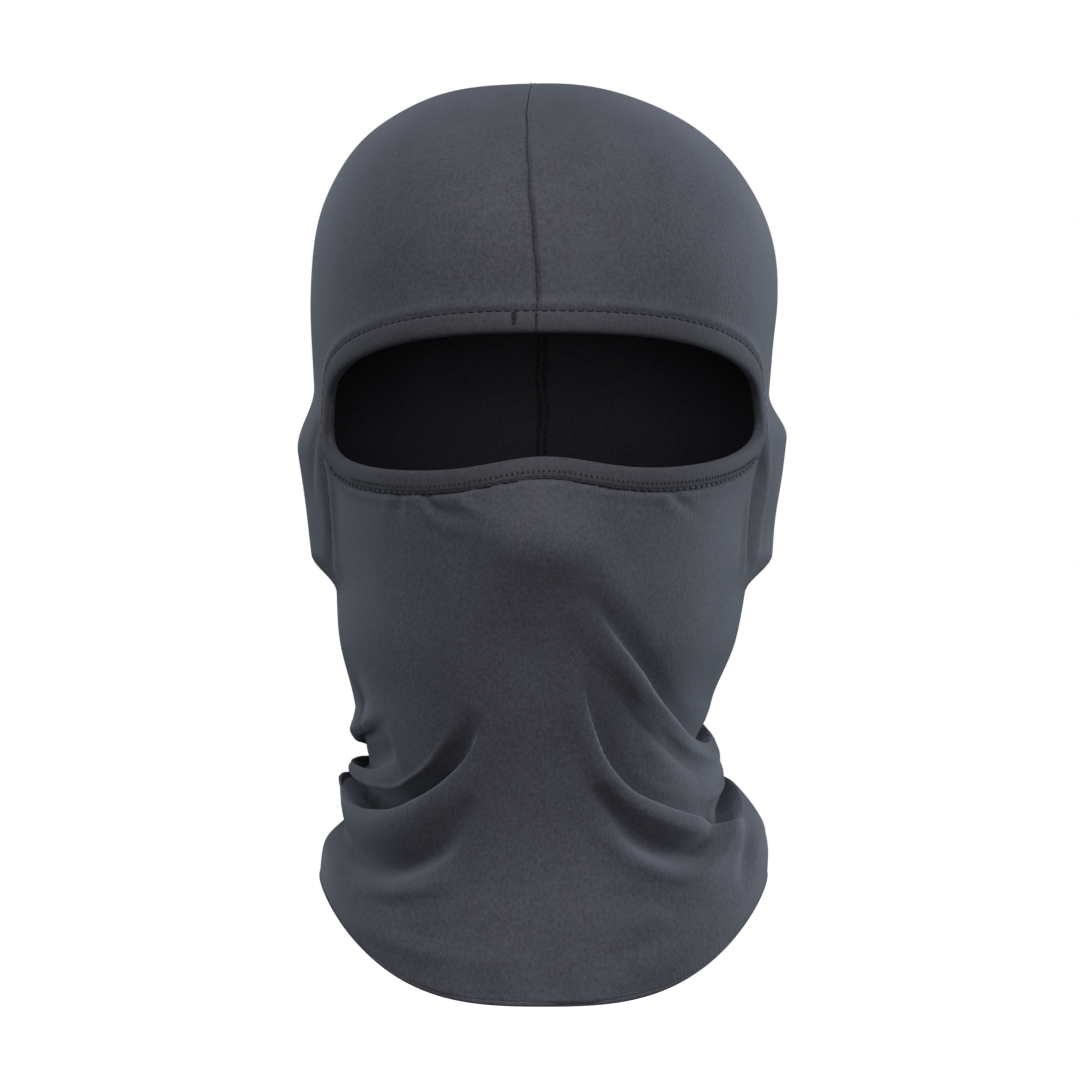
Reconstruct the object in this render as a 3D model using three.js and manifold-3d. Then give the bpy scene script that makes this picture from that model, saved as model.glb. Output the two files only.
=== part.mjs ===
// A pull-on balaclava in thin stretch knit, in the shape it takes on a head, in millimetres.
// +Z is up and the face looks along -Y. The origin is the inside of the crown's top, where the wearer's head bears.
//
// One knit panel, folded at the front below the face opening, is closed by a single seam that runs from the top
// of the opening over the crown and down the back to the hem. A folded strip binds the opening, and the neck edge
// is rolled.

import * as THREE from "three";
import { mergeVertices } from "three/addons/utils/BufferGeometryUtils.js";
import Module from "manifold-3d";

// ---------------------------------------------------------------- driving dimensions

const CLOTH = 1.0; // thickness of the knit
const GAP = 0.3; // left between pieces that touch
const HALF_WIDTH = 80.6; // at the temples
const DOME_HEIGHT = 75; // crown to temples
const BROW_DEPTH = 106; // from the widest point forward
const OCCIPUT_DEPTH = 89; // from the widest point back
const WIDEST_Y = 2; // how far behind the crown's top the head is widest
const ROUNDNESS = 2.2; // exponent of every cross-section: 2 is an ellipse

const COLUMNS = 54; // round the hood
const DOME_ROWS = 8; // crown to temples
const TUBE_ROWS = 25; // temples to hem

// The tube below the temples: height at the front centre line, half width, front, back.
const STATIONS = [
  [-74, 80.6, -104, 91],
  [-93, 79.0, -105, 93],
  [-112, 77.6, -104, 93],
  [-131, 74.8, -104, 89],
  [-150, 72.2, -105, 81],
  [-170, 70.6, -104.5, 72],
  [-192, 68.0, -102, 64],
  [-213, 62.0, -98, 59],
  [-233, 60.0, -93, 58],
  [-252, 63.5, -90, 62],
  [-271, 68.5, -91, 69],
  [-286, 73.0, -94, 77],
  [-299, 75.5, -97, 82],
  [-311, 76.0, -99, 85],
];

// The hem rides up over the shoulders and a little at the nape, and the cloth above it with it.
const RISE_SHOULDER = 31;
const RISE_NAPE = 18;
const RISE_FROM = -213; // the height above which nothing is lifted

// ---------------------------------------------------------------- shaping functions

const smooth = (t) => THREE.MathUtils.smoothstep(t, 0, 1);
const bell = (t) => Math.exp(-t * t);
const power = (value, exponent) => Math.sign(value) * Math.abs(value) ** exponent;

const sidePath = stationCurve(1);
const frontPath = stationCurve(2);
const backPath = stationCurve(3);

// A smooth curve through one column of STATIONS, as (value, height).
function stationCurve(column) {
  const points = STATIONS.map((s) => new THREE.Vector3(s[column], s[0], 0));
  return new THREE.CatmullRomCurve3(points, false, "catmullrom", 0.5);
}

// Half width, front, back and height of the hood at a level: -1 to 0 is the dome, 0 to 1 the tube.
function section(level) {
  if (level >= 0) {
    const side = sidePath.getPoint(level);
    return {
      half: side.x,
      front: frontPath.getPoint(level).x,
      back: backPath.getPoint(level).x,
      height: side.y,
      middle: WIDEST_Y,
    };
  }
  const angle = ((level + 1) * Math.PI) / 2;
  const spread = Math.sin(angle) ** (2 / ROUNDNESS);
  return {
    half: HALF_WIDTH * spread,
    front: (WIDEST_Y - BROW_DEPTH) * spread,
    back: (WIDEST_Y + OCCIPUT_DEPTH) * spread,
    height: CLOTH - DOME_HEIGHT * (1 - Math.cos(angle) ** (2 / ROUNDNESS)),
    middle: WIDEST_Y * spread,
  };
}

// The nose pushes the cloth forward below the opening, and lifts the opening's lower edge.
function nose(x, z) {
  return 8.5 * bell(x / 25) * bell((z + 143) / (z > -143 ? 22 : 38));
}

// The ears push it out at the sides: a slow start at the top and a round end at the lobe.
function ear(y, z) {
  const along = smooth((-106 - z) / 16) * smooth((z + 175) / 11);
  return (9.2 - 0.06 * (-122 - z)) * along * bell((y - 6) / 30);
}

// The slack cloth hangs in a soft crescent on each side of the neck, lowest at the side of the throat.
const SWAGS = [
  { turn: -66, reach: 44, low: -249, climb: 12, out: 6.5, depth: 13 },
  { turn: 62, reach: 46, low: -251, climb: 15, out: 6.5, depth: 13 },
];
function slack(theta, z) {
  let out = 0;
  for (const swag of SWAGS) {
    const turn = (THREE.MathUtils.radToDeg(theta) - swag.turn) / swag.reach;
    const line = swag.low + swag.climb * turn * turn;
    out += swag.out * bell(turn) * bell((z - line) / swag.depth);
  }
  return out;
}

// Share of the full hem lift that a height takes.
function lift(height) {
  const hem = STATIONS[STATIONS.length - 1][0];
  return smooth((RISE_FROM - height) / (RISE_FROM - hem));
}

// A point of the outside. theta runs from -PI to PI: 0 on the front centre line, positive towards +X.
function outside(theta, level) {
  const s = section(level);
  const across = power(Math.sin(theta), 2 / ROUNDNESS);
  const along = power(Math.cos(theta), 2 / ROUNDNESS);
  const towardsFront = along > 0;
  const rise = RISE_SHOULDER * Math.abs(Math.sin(theta)) ** 3 + (RISE_NAPE * (1 - Math.cos(theta))) / 2;
  const z = s.height + lift(s.height) * rise;
  let x = s.half * across;
  let y = s.middle + (towardsFront ? s.front - s.middle : s.middle - s.back) * along;
  if (level > 0) {
    const bulge = slack(theta, z);
    y -= towardsFront ? nose(x, z) : 0;
    x += Math.sign(x) * ear(y, z) * Math.abs(across) + bulge * Math.sin(theta);
    y -= bulge * Math.cos(theta);
  }
  return new THREE.Vector3(x, y, z);
}

// The outward normal there.
function normal(theta, level) {
  const step = 0.004;
  const round = outside(theta + step, level).sub(outside(theta - step, level));
  const up = outside(theta, Math.max(level - step, -1)).sub(outside(theta, Math.min(level + step, 1)));
  return round.cross(up).normalize();
}

// The turn of one of the columns, counted from the back seam.
function columnTurn(k) {
  return (k * 2 * Math.PI) / COLUMNS - Math.PI;
}

// A point at a distance outside the outer face, or inside it where the distance is negative.
function offset(theta, level, distance) {
  return outside(theta, level).addScaledVector(normal(theta, level), distance);
}

// ---------------------------------------------------------------- mesh helpers

// A closed skin over sections, each a ring of the same number of points. The first and last section close on the
// two points of ends, or join each other where there are none.
function skin(sections, ends) {
  const size = sections[0].length;
  const points = sections.flat();
  const faces = [];
  const bands = ends ? sections.length - 1 : sections.length;
  for (let i = 0; i < bands; i++) {
    const a = i * size;
    const b = ((i + 1) % sections.length) * size;
    for (let k = 0; k < size; k++) {
      const next = (k + 1) % size;
      faces.push(a + k, b + k, a + next, a + next, b + k, b + next);
    }
  }
  if (ends) {
    const first = points.push(ends[0]) - 1;
    const last = points.push(ends[1]) - 1;
    const tail = (sections.length - 1) * size;
    for (let k = 0; k < size; k++) {
      const next = (k + 1) % size;
      faces.push(first, k, next, last, tail + next, tail + k);
    }
  }
  const geometry = new THREE.BufferGeometry().setFromPoints(points);
  geometry.setIndex(faces);
  geometry.computeVertexNormals();
  return geometry;
}

const centre = (ring) =>
  ring.reduce((sum, p) => sum.add(p), new THREE.Vector3()).divideScalar(ring.length);

// A thread or cord: frames hold a place and two directions across it.
function tube(frames, radius, sides, loop) {
  const rings = frames.map((f) => {
    const ring = [];
    for (let k = 0; k < sides; k++) {
      const angle = (-k * 2 * Math.PI) / sides;
      ring.push(
        f.at
          .clone()
          .addScaledVector(f.out, radius * Math.cos(angle))
          .addScaledVector(f.aside, radius * Math.sin(angle)),
      );
    }
    return ring;
  });
  return loop ? skin(rings) : skin(rings, [centre(rings[0]), centre(rings[rings.length - 1])]);
}

const wasm = await Module();
wasm.setup();

function solid(geometry) {
  const bare = geometry.clone();
  bare.deleteAttribute("normal");
  bare.deleteAttribute("uv");
  const merged = mergeVertices(bare, 1e-4);
  return new wasm.Manifold(
    new wasm.Mesh({
      numProp: 3,
      vertProperties: merged.attributes.position.array,
      triVerts: new Uint32Array(merged.index.array),
    }),
  );
}

function geometryOf(manifold) {
  const mesh = manifold.getMesh();
  const geometry = new THREE.BufferGeometry();
  geometry.setAttribute("position", new THREE.BufferAttribute(mesh.vertProperties, 3));
  geometry.setIndex(new THREE.BufferAttribute(mesh.triVerts, 1));
  geometry.computeVertexNormals();
  return geometry;
}

// ---------------------------------------------------------------- the face opening

// The finished edge of the opening, seen from the front: a wide rounded slot, squarer below than above, that the
// bridge of the nose lifts in the middle.
const OPENING = {
  half: 70,
  middle: -111.5,
  up: 22.5,
  down: 23.5,
  roundAbove: 0.68, // exponents of its outline: 1 and 1 are an ellipse, smaller ones squarer
  roundBelow: 0.56,
  flat: 0.8,
  noseLift: 4.5,
  noseHalf: 17,
};
const BINDING_STEPS = 64;

function openingEdge(turn) {
  const upper = Math.cos(turn) > 0;
  const across = power(Math.sin(turn), upper ? OPENING.roundAbove : OPENING.roundBelow);
  const along = power(Math.cos(turn), OPENING.flat);
  const x = OPENING.half * across;
  const lifted = upper ? 0 : OPENING.noseLift * bell(x / OPENING.noseHalf);
  return { x, z: OPENING.middle + (upper ? OPENING.up : OPENING.down) * along + lifted };
}

// Where the front of the hood has this x and z, as theta and level.
function onFace(x, z) {
  let low = 0;
  let high = 0.6;
  for (let i = 0; i < 30; i++) {
    const mid = (low + high) / 2;
    if (section(mid).height > z) low = mid;
    else high = mid;
  }
  const share = Math.min(Math.abs(x) / section(low).half, 1);
  return { theta: Math.sign(x) * Math.asin(share ** (ROUNDNESS / 2)), level: low };
}

// Evenly spaced frames round the opening, on the outer face: out points off the head, aside off the opening.
function openingFrames(steps) {
  const fine = [];
  const count = 720;
  for (let i = 0; i <= count; i++) {
    const { x, z } = openingEdge((-i * 2 * Math.PI) / count);
    fine.push(new THREE.Vector3(x, 0, z));
  }
  const path = new THREE.CatmullRomCurve3(fine.slice(0, count), true);
  path.arcLengthDivisions = count;
  const places = path.getSpacedPoints(steps).slice(0, steps);
  const frames = places.map((p) => {
    const { theta, level } = onFace(p.x, p.z);
    return { at: outside(theta, level), out: normal(theta, level) };
  });
  frames.forEach((f, i) => {
    const ahead = frames[(i + 1) % steps].at.clone().sub(frames[(i + steps - 1) % steps].at);
    f.aside = ahead.cross(f.out).normalize();
  });
  return frames;
}

// ---------------------------------------------------------------- pieces

// The knit panel, crown to hem, with the hole that the binding edges.
function hoodBody() {
  const levels = [];
  for (let i = 1; i <= DOME_ROWS; i++) levels.push(-1 + i / DOME_ROWS);
  for (let i = 1; i <= TUBE_ROWS; i++) levels.push(i / TUBE_ROWS);
  const row = (level, distance) => {
    const ring = [];
    for (let k = 0; k < COLUMNS; k++) {
      ring.push(offset(columnTurn(k), level, distance));
    }
    return ring;
  };
  const outer = levels.map((level) => row(level, 0));
  const inner = levels.map((level) => row(level, -CLOTH)).reverse();
  const crown = [new THREE.Vector3(0, 0, CLOTH), new THREE.Vector3(0, 0, 0)];
  const shell = solid(skin([...outer, ...inner], crown));
  return geometryOf(shell.subtract(solid(openingCutter())));
}

// A plug through the front wall, a little wider than the finished opening, with its ends clear of the wall.
const RAW_EDGE = 2.2; // from the finished edge back to the panel's raw edge
const PLUG = { reach: 8, ahead: -165, behind: -35 };
function openingCutter() {
  const frames = openingFrames(BINDING_STEPS);
  const rim = (out) =>
    frames.map((f) => f.at.clone().addScaledVector(f.aside, RAW_EDGE).addScaledVector(f.out, out));
  const ends = [PLUG.ahead, PLUG.behind].map((y) => new THREE.Vector3(0, y, OPENING.middle));
  return skin([rim(PLUG.reach), rim(-PLUG.reach)], ends);
}

// The binding: a strip folded over the raw edge, with the panel held between its legs.
const BINDING = { strip: 0.9, room: 0.9, outerLeg: 7.2, innerLeg: 6.2 };
function bindingProfile() {
  const inside = -CLOTH - BINDING.room;
  const outsideFace = BINDING.room + BINDING.strip;
  const insideFace = inside - BINDING.strip;
  const root = RAW_EDGE - 0.9;
  return [
    [BINDING.outerLeg, BINDING.room],
    [BINDING.outerLeg, outsideFace - 0.2],
    [BINDING.outerLeg - 1, outsideFace],
    [1.1, outsideFace],
    [0.1, 0.6],
    [0.1, -CLOTH - 0.6],
    [1.1, insideFace],
    [BINDING.innerLeg, insideFace],
    [BINDING.innerLeg, inside],
    [root, inside],
    [root, BINDING.room],
  ];
}

function faceBinding() {
  const profile = bindingProfile();
  const rings = openingFrames(BINDING_STEPS).map((f) =>
    profile.map(([aside, out]) =>
      f.at.clone().addScaledVector(f.aside, aside).addScaledVector(f.out, out),
    ),
  );
  return skin(rings);
}

// A thread laid on the binding's outer leg.
const STITCH_RADIUS = 0.35;
const STITCH_FROM_EDGE = 5.2;
function bindingCoverstitch() {
  const height = BINDING.room + BINDING.strip + GAP + STITCH_RADIUS;
  const frames = openingFrames(BINDING_STEPS).map((f) => ({
    at: f.at.clone().addScaledVector(f.aside, STITCH_FROM_EDGE).addScaledVector(f.out, height),
    out: f.out,
    aside: f.aside,
  }));
  return tube(frames, STITCH_RADIUS, 5, true);
}

// A bar of stitches across the binding above the opening, between two distances from the finished edge.
function barAcross(x, from, to, width) {
  const turn = Math.sign(x) * Math.asin((Math.abs(x) / OPENING.half) ** (1 / OPENING.roundAbove));
  const { theta, level } = onFace(x, openingEdge(turn).z);
  const place = outside(theta, level);
  const out = normal(theta, level);
  const aside = new THREE.Vector3(0, 0, 1).projectOnPlane(out).normalize();
  const bar = new THREE.BoxGeometry(width, 0.5, to - from);
  const height = BINDING.room + BINDING.strip + GAP + 0.25;
  bar.applyMatrix4(
    new THREE.Matrix4().makeBasis(aside.clone().cross(out), out.clone().negate(), aside),
  );
  place.addScaledVector(aside, (from + to) / 2).addScaledVector(out, height);
  return bar.translate(place.x, place.y, place.z);
}

// How far above the neck edge the seam stops, in rows.
const SEAM_SHORT = 0.2;

// The level at which the forehead seam meets the binding.
const SEAM_START = onFace(0, OPENING.middle + OPENING.up + BINDING.outerLeg + 1.5).level;

// Frames down the centre seam, from the forehead over the crown to the back hem, at a distance from the outer face.
function seamFrames(distance) {
  const places = [];
  for (let i = 0; i <= 3; i++) places.push([0, SEAM_START * (1 - i / 3)]);
  for (let i = 1; i < DOME_ROWS; i++) places.push([0, -i / DOME_ROWS]);
  places.push([0, -1]);
  for (let i = 1; i <= DOME_ROWS; i++) places.push([Math.PI, -1 + i / DOME_ROWS]);
  for (let i = 1; i < TUBE_ROWS; i++) places.push([Math.PI, i / TUBE_ROWS]);
  places.push([Math.PI, 1 - SEAM_SHORT / TUBE_ROWS]);
  const aside = new THREE.Vector3(1, 0, 0);
  return places.map(([theta, level]) => {
    const top = level === -1;
    const out = top ? new THREE.Vector3(0, 0, 1) : normal(theta, level);
    const at = top ? new THREE.Vector3(0, 0, CLOTH) : outside(theta, level);
    out.x = 0;
    at.x = 0;
    out.normalize();
    return { at: at.addScaledVector(out, distance), out, aside };
  });
}

const seamThread = () => tube(seamFrames(GAP + 0.45), 0.4, 5, false);

// A band standing in from the inner face along the seam, between two depths and of a given width.
function seamBand(from, to, width) {
  const rings = seamFrames(-CLOTH).map((f) =>
    [
      [-width / 2, -from],
      [-width / 2, -to],
      [width / 2, -to],
      [width / 2, -from],
    ].map(([aside, out]) =>
      f.at.clone().addScaledVector(f.aside, aside).addScaledVector(f.out, out),
    ),
  );
  return skin(rings, [centre(rings[0]), centre(rings[rings.length - 1])]);
}

const ALLOWANCE = 5.0; // how far the two raw edges stand in
const OVERLOCK = 0.7; // thickness of the thread over their ends

// The rolled edge of the neck, just below the panel.
const HEM_RADIUS = 1.1;
function neckHem() {
  const frames = [];
  for (let k = 0; k < COLUMNS; k++) {
    const theta = columnTurn(k);
    const out = normal(theta, 1);
    const down = outside(theta, 1).sub(outside(theta, 0.98)).projectOnPlane(out).normalize();
    const at = offset(theta, 1, -CLOTH / 2).addScaledVector(down, GAP + HEM_RADIUS + 0.15);
    frames.push({ at, out, aside: down });
  }
  return tube(frames, HEM_RADIUS, 7, true);
}

// ---------------------------------------------------------------- assembly

const knit = new THREE.MeshStandardMaterial({ color: 0x3f3f47, roughness: 0.82, metalness: 0 });
const bindingKnit = new THREE.MeshStandardMaterial({ color: 0x45454b, roughness: 0.85, metalness: 0 });
const thread = new THREE.MeshStandardMaterial({ color: 0x1c1c22, roughness: 0.6, metalness: 0 });
const insideKnit = new THREE.MeshStandardMaterial({ color: 0x2b2b31, roughness: 0.9, metalness: 0 });

const balaclava = new THREE.Group();
function add(name, geometry, material) {
  const mesh = new THREE.Mesh(geometry, material);
  mesh.name = name;
  balaclava.add(mesh);
}

add("hood_body", hoodBody(), knit);
add("face_binding", faceBinding(), bindingKnit);
add("binding_coverstitch", bindingCoverstitch(), thread);
add("binding_join_seam", barAcross(-2.4, 0.8, 4.4, 0.8), thread);
add("binding_backtack", barAcross(-8.3, 2.2, 4.4, 1.4), thread);
add("centre_seam_thread", seamThread(), thread);
add("seam_allowance", seamBand(GAP, ALLOWANCE, 2 * CLOTH), insideKnit);
add("seam_overlock_thread", seamBand(ALLOWANCE + GAP, ALLOWANCE + GAP + OVERLOCK, 2.6 * CLOTH), thread);
add("neck_hem_roll", neckHem(), knit);

export default balaclava;
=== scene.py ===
"""A pull-on balaclava in charcoal stretch jersey, worn on an unseen head, as a studio shot."""

import math

import bpy
import numpy as np
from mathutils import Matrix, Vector
from mathutils.kdtree import KDTree


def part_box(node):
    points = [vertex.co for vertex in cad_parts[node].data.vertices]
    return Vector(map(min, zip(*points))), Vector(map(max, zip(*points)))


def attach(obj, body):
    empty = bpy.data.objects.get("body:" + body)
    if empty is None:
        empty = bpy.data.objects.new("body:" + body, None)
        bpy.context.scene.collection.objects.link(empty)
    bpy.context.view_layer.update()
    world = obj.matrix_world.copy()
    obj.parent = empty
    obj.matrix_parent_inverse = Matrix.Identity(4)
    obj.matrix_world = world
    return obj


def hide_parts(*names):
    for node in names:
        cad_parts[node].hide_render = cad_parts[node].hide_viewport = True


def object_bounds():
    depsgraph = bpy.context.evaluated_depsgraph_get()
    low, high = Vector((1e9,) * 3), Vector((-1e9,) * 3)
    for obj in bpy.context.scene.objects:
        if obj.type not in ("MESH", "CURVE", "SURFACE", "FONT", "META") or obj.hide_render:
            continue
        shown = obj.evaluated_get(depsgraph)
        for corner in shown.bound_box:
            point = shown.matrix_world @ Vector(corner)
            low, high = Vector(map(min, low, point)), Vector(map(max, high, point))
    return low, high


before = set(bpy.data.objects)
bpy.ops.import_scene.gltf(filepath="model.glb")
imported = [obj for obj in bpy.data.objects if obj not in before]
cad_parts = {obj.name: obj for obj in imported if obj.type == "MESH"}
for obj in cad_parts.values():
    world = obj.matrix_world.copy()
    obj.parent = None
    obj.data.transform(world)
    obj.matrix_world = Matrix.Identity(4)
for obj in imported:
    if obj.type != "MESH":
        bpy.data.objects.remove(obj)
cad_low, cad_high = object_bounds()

MM = 0.001  # shapes are worked out in millimetres and turned into metres when a mesh is made
BODY = "root"

# ---------------------------------------------------------------- driving dimensions, in millimetres

CROWN_SETTLE = 2.1  # how far the thin jersey lies below the top of the CAD solid
crown_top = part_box("hood_body")[1].z / MM - CROWN_SETTLE
CLOTH = 0.8  # thickness of the jersey
ROUNDNESS = 2.2  # exponent of every level cross-section: 2 is an ellipse
DOME_ROUNDNESS = 2.3  # the same for the upright section of the dome
DOME_HEIGHT = crown_top + 74
CROWN_SHIFT = -3.7  # the seam's place at the crown: the hood sits a little askew

# Height on the front centre line, half width, centre, front, back.
STATIONS = np.array([
    [-74, 80.5, 0.0, -104, 91],
    [-93, 79.2, -0.6, -105, 93],
    [-112, 78.0, -0.8, -104, 93],
    [-131, 75.6, -0.8, -104, 89],
    [-150, 72.9, -1.0, -105, 81],
    [-170, 70.8, -0.8, -104.5, 72],
    [-192, 68.3, -2.2, -102, 64],
    [-213, 61.6, -3.8, -98, 59],
    [-233, 59.4, -3.7, -93, 58],
    [-252, 63.0, -1.5, -90, 62],
    [-271, 67.8, 0.0, -91, 69],
    [-286, 72.9, 0.3, -94, 77],
    [-299, 76.6, 0.4, -97, 82],
    [-311, 77.2, -0.2, -99, 85],
])
HEIGHT, HALF, CENTRE, FRONT, BACK = range(5)
MIDDLE_Y = 2

# The hem rides up over the shoulders and a little at the nape, and the cloth above it with it.
RISE_SHOULDER = 29.5
RISE_NAPE = 18
RISE_FROM = -213


# ---------------------------------------------------------------- small functions

def bell(t):
    return np.exp(-np.square(t))


def smooth(t):
    t = np.clip(t, 0, 1)
    return t * t * (3 - 2 * t)


def power(value, exponent):
    return np.sign(value) * np.abs(value) ** exponent


def unit(vectors):
    return vectors / np.maximum(np.linalg.norm(vectors, axis=-1, keepdims=True), 1e-9)


def running_length(points):
    """Distance along a line of points to each of them."""
    return np.concatenate([[0], np.cumsum(np.linalg.norm(np.diff(points, axis=0), axis=1))])


def catmull_rom(values, place, flat_start=False):
    """A smooth curve through values, read at places from 0 to len(values) - 1."""
    before = values[1] if flat_start else 2 * values[0] - values[1]
    ends = np.concatenate([[before], values, [2 * values[-1] - values[-2]]])
    i = np.clip(np.floor(place).astype(int), 0, len(values) - 2)
    w = (place - i).reshape(place.shape + (1,) * (values.ndim - 1))
    a, b, c, d = (ends[i + k] for k in range(4))
    bend = 2 * a - 5 * b + 4 * c - d
    twist = 3 * b - a - 3 * c + d
    return 0.5 * (2 * b + (c - a) * w + bend * w**2 + twist * w**3)


# ---------------------------------------------------------------- the worn shape, before any fold

def section(level):
    """The hood's half width, centre, middle, front, back and height at a level.

    Levels from -1 to 0 are the dome, and levels from 0 to 1 the tube.
    """
    place = np.clip(level, 0, 1) * (len(STATIONS) - 1)
    angle = (np.clip(level, -1, 0) + 1) * math.pi / 2
    spread = np.sin(angle) ** (2 / DOME_ROUNDNESS)
    drop = DOME_HEIGHT * (1 - np.maximum(np.cos(angle), 0) ** (2 / DOME_ROUNDNESS))
    half, centre, front, back = (
        catmull_rom(STATIONS[:, k], place, flat_start=True) for k in (HALF, CENTRE, FRONT, BACK)
    )
    height = np.where(level < 0, crown_top - drop, catmull_rom(STATIONS[:, HEIGHT], place))
    return {
        "half": half * spread,
        "centre": centre + CROWN_SHIFT * (1 - spread**4),
        "middle": MIDDLE_Y * spread,
        "front": front * spread,
        "back": back * spread,
        "height": height,
    }


NOSE = {"tip": -157, "out": 9.0, "half": 23, "above": 21, "below": 26}  # the tip's height, and its size
EAR = {"middle": 6, "out": 8.2, "ahead": 33, "behind": 26, "bottom": -176, "bottom_ease": 13}
EAR_TOP = {"left": -105, "left_ease": 23, "right": -107, "right_ease": 16}


def nose(x, z):
    """How far the nose pushes the cloth forward."""
    reach = np.where(z > NOSE["tip"], NOSE["above"], NOSE["below"])
    return NOSE["out"] * bell(x / NOSE["half"]) * bell((z - NOSE["tip"]) / reach)


def ear(x, y, z):
    """How far an ear pushes it out."""
    left = (EAR_TOP["left"] - z) / EAR_TOP["left_ease"]
    right = (EAR_TOP["right"] - z) / EAR_TOP["right_ease"]
    top = smooth(np.where(x > 0, right, left))
    bottom = smooth((z - EAR["bottom"]) / EAR["bottom_ease"])
    reach = np.where(y < EAR["middle"], EAR["ahead"], EAR["behind"])
    return EAR["out"] * top * bottom * bell((y - EAR["middle"]) / reach)


def surface(theta, level):
    """Points of the outside. theta is 0 on the front centre line and positive towards +X."""
    s = section(level)
    across = power(np.sin(theta), 2 / ROUNDNESS)
    along = power(np.cos(theta), 2 / ROUNDNESS)
    reach = np.where(along > 0, s["front"] - s["middle"], s["middle"] - s["back"])
    hem = STATIONS[-1, HEIGHT]
    lift = smooth((RISE_FROM - s["height"]) / (RISE_FROM - hem))
    rise = RISE_SHOULDER * np.abs(np.sin(theta)) ** 3 + RISE_NAPE * (1 - np.cos(theta)) / 2
    x = s["centre"] + s["half"] * across
    y = s["middle"] + reach * along
    z = s["height"] + lift * rise
    in_tube = np.where(level > 0, 1.0, 0.0)
    y = y - in_tube * np.where(along > 0, nose(x, z), 0)
    x = x + in_tube * ear(x, y, z) * across
    return np.stack([x, y, z], axis=-1)


def frame_at(theta, level):
    """Places on the outside with the directions outward, around and up."""
    step = 0.003
    around = unit(surface(theta + step, level) - surface(theta - step, level))
    above, below = np.maximum(level - step, -0.999), np.minimum(level + step, 1)
    up = unit(surface(theta, above) - surface(theta, below))
    return surface(theta, level), unit(np.cross(around, up)), around, up


# ---------------------------------------------------------------- folds

MM_PER_DEGREE = 1.25  # around the hood, for distances from a fold
FOLD_REACH = 34  # further than this from its path a fold moves nothing


class Trail:
    """A smooth path over the cloth, left to right.

    Its points are (degrees from the front, height, strength).
    """

    def __init__(self, *points):
        points = np.array(points, float)
        points[:, 0] *= MM_PER_DEGREE
        self.knots = catmull_rom(points, np.linspace(0, len(points) - 1, 12 * len(points)))

    def near(self, around, height):
        """Which of the places the fold can reach."""
        low = self.knots[:, :2].min(axis=0) - FOLD_REACH
        high = self.knots[:, :2].max(axis=0) + FOLD_REACH
        beside = (around > low[0]) & (around < high[0])
        level_with = (height > low[1]) & (height < high[1])
        return np.flatnonzero(beside & level_with)

    def measure(self, around, height):
        """Distance below the path, strength there, and the direction across it as (around, up)."""
        start, step = self.knots[:-1, :2], np.diff(self.knots[:, :2], axis=0)
        length2 = np.sum(step**2, axis=1)
        place = np.stack([around, height], axis=-1)[:, None, :] - start
        share = np.clip(np.sum(place * step, axis=-1) / length2, 0, 1)
        gap = place - share[..., None] * step
        nearest = np.argmin(np.sum(gap**2, axis=-1), axis=1)
        rows = np.arange(len(around))
        share = share[rows, nearest]
        turned = unit(step[:, ::-1] * [1, -1])
        direction = turned[nearest]
        distance = np.sum(gap[rows, nearest] * direction, axis=-1)
        away = np.linalg.norm(gap[rows, nearest], axis=-1)
        strength = self.knots[nearest, 2] * (1 - share) + self.knots[nearest + 1, 2] * share
        return np.where(distance < 0, -away, away), np.clip(strength, 0, None), direction


# A profile says how a fold lays the cloth: the cloth that starts this far below the path, or above it if
# negative, comes to lie this far below it and this far out. Its first and last points don't move.
OVERHANG = [  # the upper cloth bulges over a narrow crease
    (-10, -10, 0), (-6.5, -6.6, 1.4), (-3.8, -3.0, 3.3), (-2.0, -0.4, 2.6), (-0.7, 0.4, 0.4),
    (0.6, 0.1, -1.2), (2.2, 1.8, -1.6), (5.5, 5.4, -1.2), (9.5, 9.5, -0.6), (14, 14, 0),
]
SMALL_CUFF = [  # the lower cloth stands up in a narrow roll, with a slit behind it
    (-7.5, -7.5, 0), (-4.5, -4.8, -0.6), (-2.2, -1.6, -1.8), (-0.5, 1.4, -2.2), (0.7, 1.9, -0.6),
    (1.5, 0.5, 1.4), (2.3, 0.0, 3.0), (3.2, 1.2, 4.4), (4.8, 3.6, 5.2), (7, 6.4, 4.4), (9.5, 9.5, 0),
]
DEEP_POCKET = [  # the lower cloth stands out, and the upper cloth runs down deep behind it
    (-9, -9, 0), (-6.9, -7.3, 0.5), (-5.0, -5.8, -2.8), (-2.9, -3.0, -7.4), (-0.6, 0.8, -10),
    (1.2, 3.6, -9.0), (2.8, 3.8, -5.4), (4.0, 2.0, -1.8), (5.0, 0.1, 0.4), (6.2, 0.6, 1.9),
    (8.6, 4.4, 2.6), (11.5, 9.6, 1.8), (14, 13.4, 0.5), (17, 17, 0),
]
LEANING_CUFF = [  # the lower cloth's edge lies against the upper cloth
    (-11, -11, 0), (-6.5, -6.8, -0.8), (-3.0, -2.4, -2.8), (-0.9, 0.9, -3.8), (0.6, 1.8, -2.2),
    (1.7, 0.5, 0.4), (2.6, 0.1, 2.0), (4.0, 1.8, 3.6), (6.6, 5.8, 3.8), (9.2, 9.0, 1.6), (12, 12, 0),
]
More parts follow.
